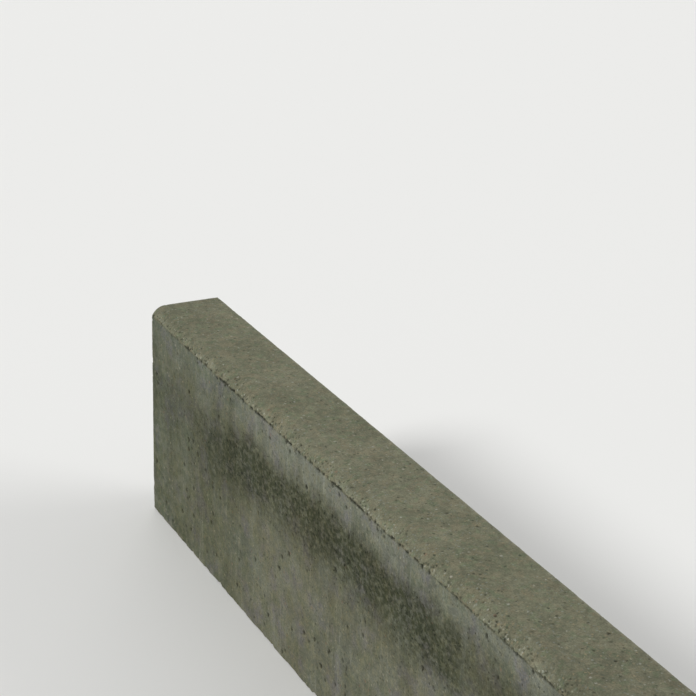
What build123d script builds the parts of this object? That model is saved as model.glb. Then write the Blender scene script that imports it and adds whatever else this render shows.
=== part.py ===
from build123d import *
import os
from math import cos, radians, sin

# A precast concrete kerb stone, cast in one piece: a long upright slab with a flat top,
# one rounded shoulder and plain square back, ends and base.
# Sizes are in millimetres. X runs along the stone, Y from the rounded front face to the
# back face, and Z up. The origin is the middle of the base.

# Driving dimensions
length = 1000.0         # one stock length, end face to end face
width = 80.0            # front face to back face
height = 250.0          # base to flat top
shoulder_radius = 18.0  # rounding from the flat top down to the front face
shoulder_turn = 67.0    # degrees that the rounding turns through before the mould seam ends it
seam_radius = 0.9       # round groove that the seam of the mould leaves along the stone
arris_radius = 1.5      # easing of every other cast edge

# Places that follow from them
front_y = -width / 2
back_y = width / 2
shoulder_run = shoulder_radius * sin(radians(shoulder_turn))
shoulder_drop = shoulder_radius * (1 - cos(radians(shoulder_turn)))
shoulder_y = front_y + shoulder_run
seam_z = height - shoulder_drop

with BuildPart() as kerb_stone:
    # Section across the stone, from the top's front edge round the back to the seam.
    with BuildSketch(Plane.YZ):
        with BuildLine():
            Polyline(
                (shoulder_y, height),
                (back_y, height),
                (back_y, 0),
                (front_y, 0),
                (front_y, seam_z),
            )
            CenterArc((shoulder_y, height - shoulder_radius), shoulder_radius, 90, shoulder_turn)
        make_face()
    extrude(amount=length / 2, both=True)

    # Arrises: both base edges, the back edge of the top, and the outline of each end face.
    long_edges = kerb_stone.edges().filter_by(Axis.X)
    base_edges = long_edges.group_by(Axis.Z)[0]
    top_back_edge = long_edges.group_by(Axis.Z)[-1].sort_by(Axis.Y)[-1]
    end_edges = kerb_stone.faces().filter_by(Axis.X).edges()
    fillet(base_edges + [top_back_edge] + end_edges, arris_radius)

    # Mould seam: a small round groove where the shoulder meets the front face.
    with BuildSketch(Plane.YZ):
        with Locations((front_y, seam_z)):
            Circle(seam_radius)
    extrude(amount=length / 2, both=True, mode=Mode.SUBTRACT)

kerb_stone.part.label = "kerb_stone"

os.makedirs("parts", exist_ok=True)
export_step(kerb_stone.part, "parts/kerb_stone.step")
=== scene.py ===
from math import cos, radians, sin

import bpy
import numpy as np
from mathutils import Matrix, Vector, kdtree


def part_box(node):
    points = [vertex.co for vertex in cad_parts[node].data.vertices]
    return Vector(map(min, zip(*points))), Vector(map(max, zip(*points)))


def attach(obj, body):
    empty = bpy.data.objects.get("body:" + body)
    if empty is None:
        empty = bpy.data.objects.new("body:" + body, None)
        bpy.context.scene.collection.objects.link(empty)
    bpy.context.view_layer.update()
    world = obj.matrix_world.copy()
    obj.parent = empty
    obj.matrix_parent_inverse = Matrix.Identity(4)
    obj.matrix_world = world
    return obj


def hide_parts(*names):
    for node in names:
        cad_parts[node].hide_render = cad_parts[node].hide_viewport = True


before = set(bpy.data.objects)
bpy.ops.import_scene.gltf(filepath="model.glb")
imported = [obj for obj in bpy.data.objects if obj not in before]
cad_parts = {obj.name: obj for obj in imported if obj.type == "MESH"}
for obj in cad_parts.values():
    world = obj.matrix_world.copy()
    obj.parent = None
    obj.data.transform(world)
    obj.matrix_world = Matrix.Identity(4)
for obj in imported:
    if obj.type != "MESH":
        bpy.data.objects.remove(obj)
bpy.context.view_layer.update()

# Sizes in metres. The stone's box comes from the frame; MM turns millimetres into metres.
MM = 0.001
low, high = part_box("kerb_stone")
FRONT_Y, BACK_Y, TOP_Z = low.y, high.y, high.z
SHOULDER_RADIUS = 18 * MM
SHOULDER_TURN = radians(67)
ARRIS = 1.5 * MM
SHOULDER_Y = FRONT_Y + SHOULDER_RADIUS * sin(SHOULDER_TURN)
SHOULDER_Z = TOP_Z - SHOULDER_RADIUS
SEAM_Z = SHOULDER_Z + SHOULDER_RADIUS * cos(SHOULDER_TURN)
SKIN = 0.12 * MM        # how far the mean surface lies inside the CAD surface
FINE_ABOVE = 0.18       # height above which the front is meshed more finely
MOST_TRIANGLES = 190_000
SEED = 27


# Noise

def hashed(x, y, z, seed):
    """A number from 0 to 1 for each whole-number point, the same on every run."""
    with np.errstate(over="ignore"):
        h = (x.astype(np.uint32) * np.uint32(374761393)
             + y.astype(np.uint32) * np.uint32(668265263)
             + z.astype(np.uint32) * np.uint32(2246822519)
             + np.uint32(seed) * np.uint32(3266489917))
        h = (h ^ (h >> np.uint32(15))) * np.uint32(2246822519)
        h = (h ^ (h >> np.uint32(13))) * np.uint32(3266489917)
        h = h ^ (h >> np.uint32(16))
    return h / np.float64(2**32)


def lattice_noise(points, size, seed):
    """Smooth noise from -1 to 1 whose lumps are about size metres; size may differ by axis."""
    q = points / size
    cell = np.floor(q).astype(np.int64)
    t = q - cell
    t = t * t * (3 - 2 * t)
    total = np.zeros(len(points))
    for dx in (0, 1):
        for dy in (0, 1):
            for dz in (0, 1):
                weight = ((t[:, 0] if dx else 1 - t[:, 0])
                          * (t[:, 1] if dy else 1 - t[:, 1])
                          * (t[:, 2] if dz else 1 - t[:, 2]))
                total += weight * hashed(cell[:, 0] + dx, cell[:, 1] + dy, cell[:, 2] + dz, seed)
    return 2 * total - 1


def fractal(points, size, seed, octaves=3):
    """Several sizes of noise, each half as large and half as strong as the one before."""
    total = sum(lattice_noise(points, size / 2**n, seed + n) / 2**n for n in range(octaves))
    return total / sum(1 / 2**n for n in range(octaves))


def smooth(value, start, end):
    """0 before start, 1 after end, and a soft step between."""
    t = np.clip((value - start) / (end - start), 0, 1)
    return t * t * (3 - 2 * t)


# The stone's smooth form

def stations(*runs):
    """Places along one side of the stone, from (start, end, step) runs that follow each other."""
    parts = [np.linspace(a, b, max(1, round((b - a) / step)) + 1)[:-1] for a, b, step in runs]
    return np.append(np.concatenate(parts), runs[-1][1])


def box_skin(sides):
    """Corner points and quads of a box whose three sides are divided at the given stations."""
    counts = [len(side) for side in sides]
    strides = [counts[1] * counts[2], counts[2], 1]
    quads = []
    for axis in range(3):
        a, b = [other for other in range(3) if other != axis]
        ia, ib = np.meshgrid(np.arange(counts[a] - 1), np.arange(counts[b] - 1), indexing="ij")
        first = (ia * strides[a] + ib * strides[b]).ravel()
        beside, above = strides[a], strides[b]
        quad = np.stack([first, first + beside, first + beside + above, first + above], 1)
        for at_end in (False, True):
            side = quad + (counts[axis] - 1) * strides[axis] * at_end
            outward = at_end != (axis == 1)
            quads.append(side if outward else side[:, ::-1])
    used, quads = np.unique(np.concatenate(quads), return_inverse=True)
    points = np.stack([side[used // stride % count]
                       for side, stride, count in zip(sides, strides, counts)], 1)
    return points, quads.reshape(-1, 4)


def eased(points):
    """Rounds every edge of the box by ARRIS, apart from the one that becomes the shoulder."""
    inner_low, inner_high = np.array(low) + ARRIS, np.array(high) - ARRIS
    inner = np.clip(points, inner_low, inner_high)
    off = points - inner
    section_reach = np.hypot(off[:, 1], off[:, 2])
    at_shoulder = (off[:, 1] < 0) & (off[:, 2] > 0)
    section_reach[at_shoulder] = np.abs(off[at_shoulder, 1:]).max(1)
    reach = np.hypot(off[:, 0], section_reach)
    return inner + off * (ARRIS / np.maximum(reach, ARRIS / 10))[:, None]


def shouldered(points):
    """Draws the front top corner of the box in to the shoulder's arc."""
    y, z = points[:, 1] - SHOULDER_Y, points[:, 2] - SHOULDER_Z
    corner = (y < 0) & (z > 0)
    y, z = y[corner], z[corner]
    depth, rise = SHOULDER_Y - FRONT_Y, TOP_Z - SHOULDER_Z
    span = np.maximum(np.hypot(y, z), 1e-9)
    to_front = depth / np.maximum(-y / span, 1e-9)
    to_box = np.minimum(to_front, rise / np.maximum(z / span, 1e-9))
    scale = np.minimum(to_front, SHOULDER_RADIUS) / to_box
    shaped = points.copy()
    shaped[corner, 1] = SHOULDER_Y + y * scale
    shaped[corner, 2] = SHOULDER_Z + z * scale
    return shaped


def new_mesh(name, points, quads):
    mesh = bpy.data.meshes.new(name)
    mesh.from_pydata(points, [], quads)
    mesh.update()
    return mesh


def normals_of(mesh):
    found = np.zeros(len(mesh.vertices) * 3, np.float32)
    mesh.vertex_normals.foreach_get("vector", found)
    return found.reshape(-1, 3).astype(float)


def smooth_form():
    """The stone before any wear, fine where the seam and the arrises are."""
    inside = [(low[i] + ARRIS, high[i] - ARRIS) for i in range(3)]
    xs = stations(
        (low.x, inside[0][0], 0.5 * MM),
        (inside[0][0], inside[0][1], 1.3 * MM),
        (inside[0][1], high.x, 0.5 * MM),
    )
    ys = stations(
        (FRONT_Y, inside[1][0], 0.5 * MM),
        (inside[1][0], SHOULDER_Y, 1.0 * MM),
        (SHOULDER_Y, inside[1][1], 1.3 * MM),
        (inside[1][1], BACK_Y, 0.5 * MM),
    )
    zs = stations(
        (low.z, inside[2][0], 0.5 * MM),
        (inside[2][0], FINE_ABOVE, 1.6 * MM),
        (FINE_ABOVE, SEAM_Z - 4 * MM, 1.3 * MM),
        (SEAM_Z - 4 * MM, SEAM_Z + 4 * MM, 0.45 * MM),
        (SEAM_Z + 4 * MM, inside[2][1], 1.0 * MM),
        (inside[2][1], TOP_Z, 0.5 * MM),
    )
    points, quads = box_skin((xs, ys, zs))
    return shouldered(eased(points)), quads


# Relief

def on_shoulder_or_top(points):
    """1 on the open-textured top and shoulder, 0 on the faces cast against the mould."""
    above_seam = smooth(points[:, 2], SEAM_Z - 1.4 * MM, SEAM_Z + 0.4 * MM)
    front_half = points[:, 1] < 0
    near_top = smooth(points[:, 2], TOP_Z - 0.9 * MM, TOP_Z - 0.3 * MM)
    inside_ends = smooth(high.x - np.abs(points[:, 0]), 0.2 * MM, 0.8 * MM)
    return np.where(front_half, above_seam * inside_ends, near_top)


def on_arris(points):
    """1 on the stone's outer edges, fading to 0 a few millimetres in. The shoulder is no edge."""
    from_sides = np.concatenate([points - np.array(low), np.array(high) - points], 1)
    beside_shoulder = (points[:, 1] < SHOULDER_Y) & (points[:, 2] > SEAM_Z)
    from_sides[beside_shoulder, 1] = 0
    from_sides[beside_shoulder, 5] = 1
    second_nearest = np.sort(from_sides, 1)[:, 1]
    return 1 - smooth(second_nearest, 0.8 * MM, 3.6 * MM)


def seam_groove(points):
    """How deep the mould seam's ragged groove is, and how near a point is to the grains above it.

    The seam wanders up and down, and opens and closes. It is nearly closed by the left end,
    and less open along the right half.
    """
    along = points.copy()
    along[:, 1:] = 0
    slow, quick = fractal(along, 34 * MM, SEED + 40, 2), fractal(along, 7 * MM, SEED + 42, 2)
    wander = (0.7 * slow + 0.7 * quick) * MM
    worn = 0.35 * lattice_noise(along, 70 * MM, SEED + 43)
    open_here = smooth(fractal(along, 5.5 * MM, SEED + 44, 2) + worn, -0.14, 0.16)
    open_here *= 0.15 + 0.85 * smooth(points[:, 0], -460 * MM, -405 * MM)
    open_here *= 1 - 0.4 * smooth(points[:, 0], 80 * MM, 140 * MM)
    down = points[:, 2] - SEAM_Z - wander
    gap = np.hypot(down, points[:, 1] - FRONT_Y)
    width = (0.45 + 1.0 * open_here) * (1 + 0.5 * lattice_noise(points, 2.3 * MM, SEED + 46)) * MM
    front = points[:, 1] < SHOULDER_Y
    groove = front * np.exp(-(gap / width) ** 4) * (0.22 + 0.78 * open_here)
    rim = front * smooth(down, 0.4 * MM, 1.4 * MM) * (1 - smooth(down, 3.0 * MM, 8.0 * MM))
    return groove, rim


def tree_of(points):
    tree = kdtree.KDTree(len(points))
    for index, point in enumerate(points):
        tree.insert(point, index)
    tree.balance()
    return tree


def chipped(points, rng):
    """Small shell-shaped chips along the arrises, and how fresh the broken surface is."""
    shallowest = 0.3
    sharp_corner = 0.6      # how far the eased arris lies inside the sharp corner
    edges = [
        # start, end, outward direction, number of chips, largest depth in mm
        ((low.x, BACK_Y, TOP_Z), (high.x, BACK_Y, TOP_Z), (0, 1, 1), 14, 0.6),
        ((low.x, FRONT_Y, low.z), (high.x, FRONT_Y, low.z), (0, -1, -1), 40, 2.4),
        ((low.x, BACK_Y, low.z), (high.x, BACK_Y, low.z), (0, 1, -1), 40, 2.4),
    ]
    for end, out in ((low.x, -1), (high.x, 1)):
        edges += [
            ((end, SHOULDER_Y, TOP_Z), (end, BACK_Y, TOP_Z), (out, 0, 1), 7, 0.9),
            ((end, FRONT_Y, low.z), (end, FRONT_Y, SEAM_Z), (out, -1, 0), 16, 1.3),
            ((end, BACK_Y, low.z), (end, BACK_Y, TOP_Z), (out, 1, 0), 16, 1.5),
            ((end, FRONT_Y, low.z), (end, BACK_Y, low.z), (out, 0, -1), 7, 2.4),
        ]
    tree = tree_of(points)
    moved = points.copy()
    fresh = np.zeros(len(points))
    for start, end, out, count, deepest in edges:
        start, end, out = Vector(start), Vector(end), Vector(out).normalized()
        for _ in range(count):
            depth = (shallowest + (deepest - shallowest) * rng.random() ** 3) * MM + sharp_corner * MM
            radius = depth * rng.uniform(2.0, 4.5)
            middle = start.lerp(end, rng.random()) + out * (radius - depth)
            near = [index for _, index, _ in tree.find_range(middle, radius * 1.2)]
            if not near:
                continue
            away = moved[near] - np.array(middle)
            reach = np.linalg.norm(away, axis=1)
            ragged = radius * (1 + 0.13 * fractal(moved[near], 2.6 * MM, SEED + 60, 2))
            scooped = np.array(middle) + away * (ragged / np.maximum(reach, 1e-9))[:, None]
            hit = reach < ragged
            index = np.array(near)[hit]
            moved[index] = scooped[hit]
            fresh[index] = 1
    return moved, fresh


# Air pits that show in the photograph, as (along the stone, across its top, radius) in mm.
TOP_PITS = (
    (274, 30, 1.7), (245, -2, 1.4), (300, 24, 1.3), (142, 5, 1.3), (87, 26, 1.4), (75, -2, 1.1),
    (-328, 2, 1.2), (-60, 12, 1.0), (210, 33, 1.1), (188, -12, 1.2), (-205, -6, 1.1), (20, 20, 1.0),
)
# The same on the seam, as (along the stone, above or below the seam, radius).
SEAM_PITS = (
    (110, -0.8, 2.4), (102, 0.4, 1.5), (122, -0.2, 1.6), (-14, 0, 1.5),
    (57, -0.4, 1.5), (165, 0.2, 1.5), (210, -0.3, 1.6), (-262, 0.1, 1.5),
    (-290, -0.2, 1.4), (-155, 0.3, 1.4), (300, 0.0, 1.5), (360, 0.2, 1.8),
)


def air_pits(rng):
    """Every air pit as (place, radius, depth). They gather in patches, as air does against a mould."""
    pits = []
    for x, y, r in TOP_PITS:
        pits.append(((x * MM, y * MM, TOP_Z), r * MM, r * MM * 0.9))
    for x, z, r in SEAM_PITS:
        pits.append(((x * MM, FRONT_Y, SEAM_Z + z * MM), r * MM, r * MM * 0.9))
    span = high - low
    faces = [
        # lowest corner, size, tries for each square metre, smallest and largest radius in mm
        ((low.x, SHOULDER_Y, TOP_Z), (span.x, BACK_Y - SHOULDER_Y, 0), 6500, 0.6, 1.5),
        ((low.x, FRONT_Y, low.z), (span.x, 0, SEAM_Z), 6500, 0.7, 2.6),
        ((low.x, BACK_Y, low.z), (span.x, 0, span.z), 6500, 0.7, 3.0),
        ((low.x, FRONT_Y, low.z), (0, span.y, SEAM_Z), 7000, 0.7, 2.6),
        ((high.x, FRONT_Y, low.z), (0, span.y, SEAM_Z), 7000, 0.7, 2.6),
        ((low.x, FRONT_Y, low.z), (span.x, span.y, 0), 9000, 0.8, 3.2),
        ((low.x, FRONT_Y, SEAM_Z - 2 * MM), (span.x, 0, 3.5 * MM), 90000, 0.7, 1.7),
    ]
    for corner, size, density, smallest, largest in faces:
        area = np.prod([side for side in size if side > 0])
        places = np.array(corner) + np.array(size) * rng.random((round(area * density), 3))
        crowding = smooth(fractal(places, 55 * MM, SEED + 30, 2), -0.5, 0.45)
        for place in places[rng.random(len(places)) < crowding]:
            radius = (smallest + (largest - smallest) * rng.random() ** 5) * MM
            pits.append((place, radius, radius * rng.uniform(0.5, 1.1)))
    for _ in range(260):
        turn = SHOULDER_TURN * (1 - rng.random() ** 1.5 * 0.6)
        place = (rng.uniform(low.x, high.x), SHOULDER_Y - SHOULDER_RADIUS * sin(turn),
                 SHOULDER_Z + SHOULDER_RADIUS * cos(turn))
        radius = rng.uniform(0.6, 1.3) * MM
        pits.append((place, radius, radius * rng.uniform(0.5, 1.0)))
    return pits


def pitted(points, normals, rng):
    """Sinks each air pit along the surface's normal. Returns the points and how deep each is sunk."""
    tree = tree_of(points)
    sunk = np.zeros(len(points))
    for place, radius, depth in air_pits(rng):
        near = [index for _, index, _ in tree.find_range(place, radius * 1.3)]
        if not near:
            continue
        ragged = 1 + 0.3 * lattice_noise(points[near], radius, SEED + 20)
        reach = np.linalg.norm(points[near] - np.array(place), axis=1) / radius / ragged
        sunk[near] = np.maximum(sunk[near], depth * np.sqrt(np.clip(1 - reach**2, 0, 1)))
    return points - normals * sunk[:, None], sunk


def weathered_form():
    """The stone's skin with its seam, pits, chips and uneven casting."""
    rng = np.random.default_rng(SEED)
    points, quads = smooth_form()
    smooth_mesh = new_mesh("smooth_form", points, quads)
    normals = normals_of(smooth_mesh)
    bpy.data.meshes.remove(smooth_mesh)
    sandy = on_shoulder_or_top(points)
    arris = on_arris(points)
    groove, rim = seam_groove(points)

    # Each of these is a height times noise whose lumps have the size that is given.
    warp = 0.10 * MM * fractal(points, 160 * MM, SEED + 1, 2)
    dimples = 0.08 * MM * fractal(points, 14 * MM, SEED + 5, 3)
    open_texture = sandy * 0.16 * MM * fractal(points, 4.0 * MM, SEED + 9, 2)
    drag = (1 - sandy) * 0.06 * MM * lattice_noise(points, np.array([3, 3, 60]) * MM, SEED + 13)
    grains = rim * 0.4 * MM * smooth(lattice_noise(points, 2.2 * MM, SEED + 17), 0.1, 0.7)
    softness = 0.2 + 0.5 * smooth(points[:, 2], 0.10, 0.01)
    crumbled = arris * softness * MM * smooth(fractal(points, 11 * MM, SEED + 23, 3), -0.25, 0.5)
    height = warp + dimples + open_texture + drag + grains - crumbled - SKIN - groove * 1.1 * MM
    points = points + normals * height[:, None]

    points, sunk = pitted(points, normals, rng)
    points, fresh = chipped(points, rng)
    points = np.clip(points, np.array(low), np.array(high))
    marks = {
        "sandy": sandy,
        "hollow": np.clip(sunk / (1.5 * MM), 0, 1) ** 0.7,
        "seam": groove,
        "rim": rim,
        "arris": arris,
        "fresh": fresh,
    }
    return points, quads, marks


def thinned(stone, kept):
    """Thins the mesh where it is flat, and least at the points that kept marks."""
    group = stone.vertex_groups.new(name="may_thin")
    group.add(np.flatnonzero(kept < 0.5).tolist(), 1.0, "REPLACE")
    triangles = sum(len(face.vertices) - 2 for face in stone.data.polygons)
    thin = stone.modifiers.new("thin", "DECIMATE")
    thin.ratio = min(1.0, MOST_TRIANGLES / triangles)
    thin.vertex_group = group.name
    thin.vertex_group_factor = 0.4
    graph = bpy.context.evaluated_depsgraph_get()
    mesh = bpy.data.meshes.new_from_object(stone.evaluated_get(graph))
    stone.modifiers.clear()
    stone.vertex_groups.clear()
    stone.data = mesh
    mesh.name = stone.name
    places = np.clip(places_of(mesh), np.array(low), np.array(high))
    mesh.vertices.foreach_set("co", places.astype(np.float32).ravel())
    mesh.update()


def places_of(mesh):
    found = np.zeros(len(mesh.vertices) * 3, np.float32)
    mesh.vertices.foreach_get("co", found)
    return found.reshape(-1, 3).astype(float)


def unrolled(mesh):
    """A flat map of the skin: one strip for each side, the shoulder unrolled with the top."""
    corners = np.zeros(len(mesh.loops), np.int32)
    mesh.loops.foreach_get("vertex_index", corners)
    count = np.zeros(len(mesh.polygons), np.int32)
    mesh.polygons.foreach_get("loop_total", count)
    face = np.repeat(np.arange(len(count)), count)
    place = places_of(mesh)[corners]
    middle = np.stack([np.bincount(face, place[:, i]) / count for i in range(3)], 1)

    from_sides = np.concatenate([middle - np.array(low), np.array(high) - middle], 1)
    shoulder = (middle[:, 1] < SHOULDER_Y) & (middle[:, 2] > SEAM_Z)
    from_sides[shoulder, 1] = 1
    from_sides[shoulder, 5] = 0
    side = from_sides.argmin(1)[face]

    x, y, z = (place - np.array(low)).T
    turn = np.arctan2(SHOULDER_Y - place[:, 1], place[:, 2] - SHOULDER_Z)
    over_top = np.where(turn > 0, SHOULDER_Y - SHOULDER_RADIUS * turn, place[:, 1]) - SHOULDER_Y
    arc = SHOULDER_RADIUS * SHOULDER_TURN
    span, gap = high - low, 6 * MM
    strips = [
        # side, along and across on the map, how tall the strip is, where it starts
        (1, x, z, span.z, 0),
        (4, x, z, span.z, 0),
        (5, x, over_top + arc, arc + BACK_Y - SHOULDER_Y, 0),
        (2, x, y, span.y, 0),
        (0, z, y, span.y, 0),
        (3, z, y, span.y, 0.3),
    ]
    uv = np.zeros((len(corners), 2))
    up = gap
    for number, along, across, tall, start in strips:
        on = side == number
        uv[on, 0] = start + along[on]
        uv[on, 1] = up + across[on]
        if number:
            up += tall + gap
    uv[:, 0] = 0.01 + 0.98 * uv[:, 0] / span.x
    uv[:, 1] /= up
    layer = mesh.uv_layers.new(name="OFBake")
    layer.uv.foreach_set("vector", uv.astype(np.float32).ravel())


def make_stone():
    points, quads, marks = weathered_form()
    mesh = new_mesh("kerb_stone_cast", points, quads)
    for name, values in marks.items():
        layer = mesh.attributes.new(name, "FLOAT", "POINT")
        layer.data.foreach_set("value", values.astype(np.float32))
    stone = bpy.data.objects.new("kerb_stone_cast", mesh)
    bpy.context.scene.collection.objects.link(stone)
    thinned(stone, marks["seam"] + marks["hollow"])
    unrolled(stone.data)
    stone.data.shade_smooth()
    return stone


# Concrete

def srgb(red, green, blue):
    """A colour as it shows on screen, from 0 to 255, as linear numbers."""
    shares = [value / 255 for value in (red, green, blue)]
    linear = [share / 12.92 if share <= 0.04045 else ((share + 0.055) / 1.055) ** 2.4 for share in shares]
    return (*linear, 1.0)


class Shader:
    """Adds nodes to one material's tree, and links them as they are made."""

    def __init__(self, material):
        material.use_nodes = True
        self.tree = material.node_tree
        self.surface = self.tree.nodes["Principled BSDF"]
        self.place = self.tree.nodes.new("ShaderNodeTexCoord").outputs["Object"]
        self.ragged_place = self.place

    def node(self, kind, inputs, **settings):
        made = self.tree.nodes.new("ShaderNode" + kind)
        for name, value in settings.items():
            setattr(made, name, value)
        for name, value in inputs.items():
            self.put(made.inputs[name], value)
        return made

    def put(self, socket, value):
        """Links a socket, or sets its number or colour."""
        if isinstance(value, bpy.types.NodeSocket):
            self.tree.links.new(value, socket)
        else:
            socket.default_value = value

    def math(self, operation, *values):
        return self.node("Math", dict(enumerate(values)), operation=operation).outputs[0]

    def times(self, *values):
        product = values[0]
        for value in values[1:]:
            product = self.math("MULTIPLY", product, value)
        return product

    def mark(self, name):
        return self.node("Attribute", {}, attribute_name=name).outputs["Fac"]

    def scaled(self, x, y, z):
        """The place on the stone, stretched by a factor along each axis."""
        return self.node("Mapping", {"Vector": self.place, "Scale": (x, y, z)}).outputs["Vector"]

    def noise(self, size, detail=2.0, place=None, rough=0.5):
        """Noise from about 0 to 1 whose lumps are size metres."""
        inputs = {"Vector": place or self.place, "Scale": 1 / size, "Detail": detail, "Roughness": rough}
        return self.node("TexNoise", inputs).outputs["Fac"]

    def fray(self, size, strength):
        """From here on, outlines of grains and holes are pushed about by noise."""
        noise = self.node("TexNoise", {"Vector": self.place, "Scale": 1 / size, "Detail": 1.0})
        inputs = {0: noise.outputs["Color"], 1: (strength,) * 3, 2: self.place}
        self.ragged_place = self.node("VectorMath", inputs, operation="MULTIPLY_ADD").outputs["Vector"]

    def cells(self, size):
        """Distance from the nearest grain's middle, in grain sizes, and that grain's own colour."""
        made = self.node("TexVoronoi", {"Vector": self.ragged_place, "Scale": 1 / size})
        return made.outputs["Distance"], made.outputs["Color"]

    def step(self, value, start, end, low=0.0, high=1.0):
        """A soft step from low to high as value goes from start to end."""
        inputs = {"Value": value, "From Min": start, "From Max": end, "To Min": low, "To Max": high}
        return self.node("MapRange", inputs, interpolation_type="SMOOTHSTEP").outputs["Result"]

    def mix(self, share, first, second, how="MIX"):
        made = self.node("Mix", {}, data_type="RGBA", blend_type=how, clamp_factor=True)
        for name, value in (("Factor_Float", share), ("A_Color", first), ("B_Color", second)):
            self.put(next(socket for socket in made.inputs if socket.identifier == name), value)
        return next(socket for socket in made.outputs if socket.identifier == "Result_Color")

    def channel(self, colour, name):
        return self.node("SeparateColor", {"Color": colour}).outputs[name]

    def shade(self, colour, amount):
        """The colour times a number from nodes."""
        grey = self.node("CombineColor", {"Red": amount, "Green": amount, "Blue": amount}).outputs["Color"]
        return self.mix(1.0, colour, grey, "MULTIPLY")

    def dots(self, size, share, radius, chooser):
        """Dots of several sizes on a random share of the cells, 1 in a dot, and the cells' colours."""
        distance, colour = self.cells(size)
        pick = self.channel(colour, chooser)
        reach = self.math("MAXIMUM", self.step(pick, 1 - share, 1, 0, radius), 0.001)
        return self.step(self.math("DIVIDE", distance, reach), 1.1, 0.5), colour


def cement(s, sandy, front, x):
    """The paste's colour: olive on the open top, cooler with drag streaks where the mould stood; the cool
    tint is partly painted sky light.

    The left end of the front is duller than the rest.
    """
    dulled = (0.62, 0.67, 0.61, 1)
    blotch = s.noise(0.075, 3)
    top = s.mix(s.step(blotch, 0.35, 0.65), srgb(102, 103, 84), srgb(112, 112, 93))
    top = s.mix(s.step(s.noise(0.012, 3), 0.45, 0.65, 0, 0.5), top, srgb(113, 107, 87))
    top = s.mix(s.step(s.noise(0.008, 3), 0.50, 0.66, 0, 0.65), top, srgb(101, 109, 86))

    # Cooler on the moulded faces: partly their own tone, partly painted sky light.
    side = s.mix(s.step(blotch, 0.35, 0.65), srgb(103, 106, 93), srgb(115, 118, 106))
    side = s.mix(s.step(s.noise(0.024, 3), 0.47, 0.66, 0, 0.65), side, srgb(111, 109, 112))
    side = s.mix(s.step(s.noise(0.015, 3), 0.48, 0.66, 0, 0.5), side, srgb(101, 107, 88))
    side = s.mix(s.step(s.noise(0.006, 2), 0.44, 0.64, 0, 0.6), side, srgb(107, 107, 88))
    fine_streak = s.noise(0.0045, 2, s.scaled(1, 1, 0.06))
    broad_streak = s.noise(0.022, 2, s.scaled(1, 1, 0.12))
    side = s.mix(s.step(fine_streak, 0.52, 0.72, 0, 0.28), side, srgb(134, 137, 129))
    side = s.shade(side, s.step(broad_streak, 0.3, 0.7, 0.92, 1.08))
    dull_end = s.math("ADD", s.step(x, -0.18, -0.30, 0, 0.6), s.step(x, -0.38, -0.48, 0, 0.35))
    dull = s.times(dull_end, s.step(s.noise(0.010, 3), 0.3, 0.7, 0.30, 1.40), front)
    side = s.mix(dull, side, s.mix(1.0, side, dulled, "MULTIPLY"))
    return s.mix(sandy, side, top)


def sanded(s, colour, sandy, speckle):
    """Sand in the paste: mottling, single grains and pinholes, with painted shade in the pinholes. Also
    gives their relief in metres.
    """
    fine = s.noise(0.0014, 3, rough=0.65)
    colour = s.shade(colour, s.step(s.noise(0.020, 4), 0.25, 0.75, 0.90, 1.08))
    colour = s.shade(colour, s.step(s.noise(0.0060, 3), 0.3, 0.7, 0.88, 1.12))
    colour = s.shade(colour, s.step(fine, 0.25, 0.75, 0.76, 1.24))

    distance, tint = s.cells(0.0023)
    in_grain = s.step(distance, 0.52, 0.36)
    warm = s.mix(s.channel(tint, "Green"), srgb(80, 74, 60), srgb(144, 132, 104))
    cool = s.mix(s.channel(tint, "Green"), srgb(76, 84, 74), srgb(138, 142, 132))
    grain = s.mix(s.step(s.channel(tint, "Red"), 0.35, 0.65), warm, cool)
    seen = s.step(s.channel(tint, "Blue"), 0.35, 0.9, 0, 0.6)
    colour = s.mix(s.times(in_grain, seen, s.step(sandy, 0, 1, 0.6, 1.0)), colour, grain)

    pale, pale_tint = s.dots(0.0040, 0.16, 0.38, "Red")
    pale_grain = s.mix(s.channel(pale_tint, "Green"), srgb(138, 137, 114), srgb(164, 163, 154))
    colour = s.mix(s.times(pale, 0.6), colour, pale_grain)
    rusty, _ = s.dots(0.0055, 0.10, 0.34, "Blue")
    colour = s.mix(s.times(rusty, 0.4), colour, srgb(132, 102, 84))
    # Painted shade in the pinholes, darker where damp or just above the seam.
    pinhole, _ = s.dots(0.0042, 0.24, 0.36, "Green")
    colour = s.mix(s.times(pinhole, s.math("ADD", speckle, 0.65)), colour, srgb(56, 58, 46))
    crumb, _ = s.dots(0.0043, 0.8, 0.46, "Blue")
    colour = s.mix(s.times(crumb, speckle, 0.7), colour, srgb(50, 52, 40))

    rise = s.times(s.math("SUBTRACT", fine, 0.5), 0.35 * MM)
    rise = s.math("MULTIPLY_ADD", s.times(in_grain, seen), 0.08 * MM, rise)
    rise = s.math("MULTIPLY_ADD", pinhole, -0.4 * MM, rise)
    return colour, rise


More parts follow.
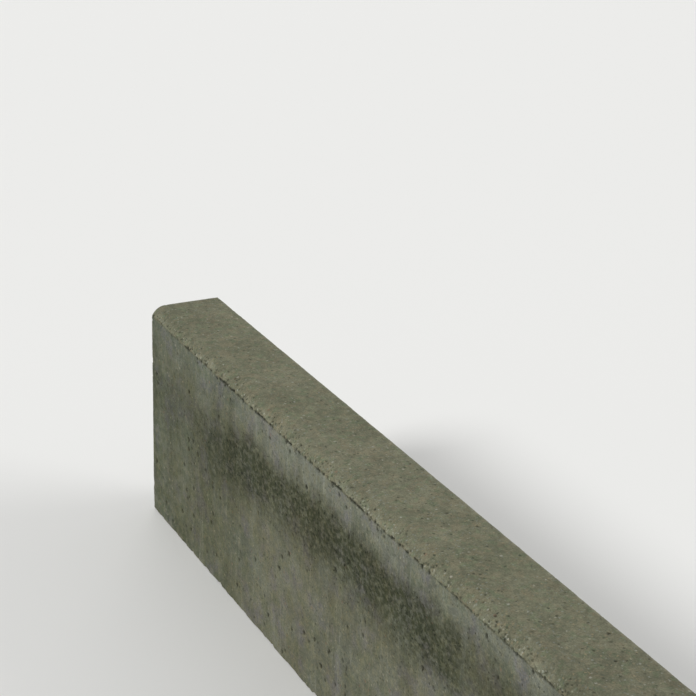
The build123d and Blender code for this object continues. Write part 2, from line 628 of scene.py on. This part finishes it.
def damp_marks(s, front, x, z):
    """How wet the front is along its damp band, and how stained it is from there down.

    The band's edge is ragged. It sinks by edge_sinks toward the left end, and rises a little
    by the right end, where the stone is drier. The other values are heights on the front.
    """
    edge_sinks, edge_rises = 0.026, 0.008
    wet_from, wet_full = 0.227, 0.194
    fades_from, fades_out = 0.180, 0.112
    stained_from, stained_full = 0.232, 0.192
    patches = s.math("SUBTRACT", s.noise(0.032, 4), 0.5)
    crumbs = s.math("SUBTRACT", s.noise(0.009, 3, s.scaled(1, 1, 1.2)), 0.5)
    ragged = s.math("MULTIPLY_ADD", patches, 0.026, s.math("MULTIPLY_ADD", crumbs, 0.020, z))
    edge = s.math("ADD", ragged, s.step(x, -0.12, -0.34, 0, edge_sinks))
    edge = s.math("SUBTRACT", edge, s.step(x, 0.14, 0.21, 0, edge_rises))

    below_top = s.step(edge, wet_from, wet_full)
    above_foot = s.step(edge, fades_out, fades_from)
    starts = s.step(x, -0.40, -0.27, 0.3, 1.0)
    ends = s.step(x, 0.235, 0.135, 0.55, 1.0)
    mottled = s.step(s.noise(0.0068, 4, s.scaled(1, 1, 1.3), 0.65), 0.34, 0.60, 0.42, 1.0)
    wet = s.times(below_top, above_foot, starts, ends, mottled, front)
    patchy = s.step(s.noise(0.060, 4), 0.3, 0.65, 0.3, 1.0)
    stain = s.times(s.step(ragged, stained_from, stained_full), patchy, front)
    return wet, stain


def concrete():
    material = bpy.data.materials.new("weathered_concrete")
    s = Shader(material)
    s.fray(0.0010, 0.0022)
    sandy, rim = s.mark("sandy"), s.mark("rim")
    place = s.node("SeparateXYZ", {"Vector": s.place}).outputs
    x, y, z = place["X"], place["Y"], place["Z"]
    # The place along the stone, pushed about so that what changes along it has no straight border.
    push = 0.24
    along = s.math("MULTIPLY_ADD", s.math("SUBTRACT", s.noise(0.055, 4), 0.5), push, x)
    front = s.step(y, FRONT_Y + 3 * MM, FRONT_Y + 1.5 * MM)
    wet, stain = damp_marks(s, front, along, z)
    stained = (0.84, 0.80, 0.69, 1)
    soaked = (0.25, 0.28, 0.19, 1)

    # The paste, with painted shade darkening it a little by the right end and a painted highlight on the
    # shoulder just above the seam, then its sand.
    colour = cement(s, sandy, front, along)
    # Painted shade: darker toward the right end.
    colour = s.shade(colour, s.step(along, 0.20, 0.34, 1.0, 0.86))
    # Painted highlight: a paler band on the lower rounding of the shoulder, just above the seam.
    painted_highlight_above_seam = s.times(rim, s.step(s.noise(0.026, 3), 0.40, 0.62, 0, 0.45))
    colour = s.mix(painted_highlight_above_seam, colour, srgb(128, 129, 110))
    colour, rise = sanded(s, colour, sandy, s.math("MAXIMUM", wet, rim))

    # Stain, damp, and pale grains above the seam.
    colour = s.mix(stain, colour, s.mix(1.0, colour, stained, "MULTIPLY"))
    colour = s.mix(wet, colour, s.mix(1.0, colour, soaked, "MULTIPLY"))
    fleck, _ = s.dots(0.0034, 0.5, 0.40, "Red")
    colour = s.mix(s.times(fleck, rim, 0.7), colour, srgb(162, 162, 148))

    # Painted shade in the hollows and the seam groove, then pale rubbed arrises and chips.
    # Painted shade in the air pits, by how deep each is sunk.
    colour = s.mix(s.times(s.mark("hollow"), 0.92), colour, srgb(42, 42, 33))
    # Painted shade in the seam groove, broken into dots.
    broken = s.step(s.noise(0.0019, 2), 0.36, 0.52, 0.55, 1.0)
    colour = s.mix(s.times(s.mark("seam"), broken), colour, srgb(40, 41, 32))
    rubbed = s.times(s.mark("arris"), s.step(s.noise(0.012, 3), 0.35, 0.65, 0.1, 0.45))
    colour = s.mix(rubbed, colour, srgb(140, 139, 122))
    colour = s.mix(s.times(s.mark("fresh"), 0.35), colour, srgb(144, 143, 128))
    s.put(s.surface.inputs["Base Color"], colour)

    s.put(s.surface.inputs["Roughness"], s.step(wet, 0, 1, 0.92, 0.78))
    s.surface.inputs["Specular IOR Level"].default_value = 0.15
    bump = s.node("Bump", {"Height": rise, "Strength": 1.0, "Distance": 1.0})
    s.put(s.surface.inputs["Normal"], bump.outputs["Normal"])
    return material


# Studio

def plain_material(name, colour):
    material = bpy.data.materials.new(name)
    s = Shader(material)
    s.surface.inputs["Base Color"].default_value = colour
    s.surface.inputs["Roughness"].default_value = 0.9
    return material


def make_floor():
    reach = 12.0
    corners = [(-reach, -reach, 0), (reach, -reach, 0), (reach, reach, 0), (-reach, reach, 0)]
    floor = bpy.data.objects.new("floor", new_mesh("floor", corners, [(0, 1, 2, 3)]))
    floor.data.materials.append(plain_material("pale_floor", srgb(232, 232, 230)))
    bpy.context.scene.collection.objects.link(floor)


def make_sun(name, azimuth, elevation, strength, softness):
    """A soft light, with its angles in degrees: 0 is from the front, 90 from the right end."""
    data = bpy.data.lights.new(name, "SUN")
    data.energy = strength
    data.angle = radians(softness)
    light = bpy.data.objects.new(name, data)
    a, e = radians(azimuth), radians(elevation)
    towards = Vector((sin(a) * cos(e), -cos(a) * cos(e), sin(e)))
    light.rotation_mode = "QUATERNION"
    light.rotation_quaternion = towards.to_track_quat("Z", "Y")
    bpy.context.scene.collection.objects.link(light)


def make_world(strength, backdrop):
    """Even light from all round, in front of a plain backdrop of its own brightness."""
    world = bpy.data.worlds.new("studio")
    world.use_nodes = True
    tree = world.node_tree
    ground = tree.nodes["Background"]
    ground.inputs["Color"].default_value = (1, 1, 1, 1)
    seen = tree.nodes.new("ShaderNodeLightPath").outputs["Is Camera Ray"]
    amount = tree.nodes.new("ShaderNodeMapRange")
    amount.inputs["To Min"].default_value = strength
    amount.inputs["To Max"].default_value = backdrop
    tree.links.new(seen, amount.inputs["Value"])
    tree.links.new(amount.outputs["Result"], ground.inputs["Strength"])
    bpy.context.scene.world = world


# The photograph's camera, found from the kerb's parallel edges and its end: where it
# stands from the stone, and how it is turned.
CAMERA_PLACE = Vector((1.177, -0.680, 0.939))
CAMERA_HEADING = radians(62.1)
CAMERA_DROP = radians(22.3)
CAMERA_ROLL = radians(1.97)
FOCAL_PIXELS = 1727
PHOTO_PIXELS = 696


def make_camera():
    data = bpy.data.cameras.new("photo_view")
    data.sensor_width = 36
    data.lens = FOCAL_PIXELS * data.sensor_width / PHOTO_PIXELS
    camera = bpy.data.objects.new("photo_view", data)
    turn = (Matrix.Rotation(CAMERA_HEADING, 3, "Z") @ Matrix.Rotation(radians(90) - CAMERA_DROP, 3, "X")
            @ Matrix.Rotation(CAMERA_ROLL, 3, "Z"))
    camera.matrix_world = Matrix.Translation(CAMERA_PLACE) @ turn.to_4x4()
    bpy.context.scene.collection.objects.link(camera)
    bpy.context.scene.camera = camera


make_camera()
stone = make_stone()
stone.data.materials.append(concrete())
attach(stone, "root")
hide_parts("kerb_stone")

make_floor()
make_world(strength=0.42, backdrop=0.85)
make_sun("key", azimuth=8, elevation=36, strength=1.95, softness=14)
make_sun("back_fill", azimuth=150, elevation=20, strength=1.45, softness=40)
make_sun("side_fill", azimuth=-110, elevation=30, strength=0.55, softness=40)
bpy.context.scene.view_settings.view_transform = "Standard"
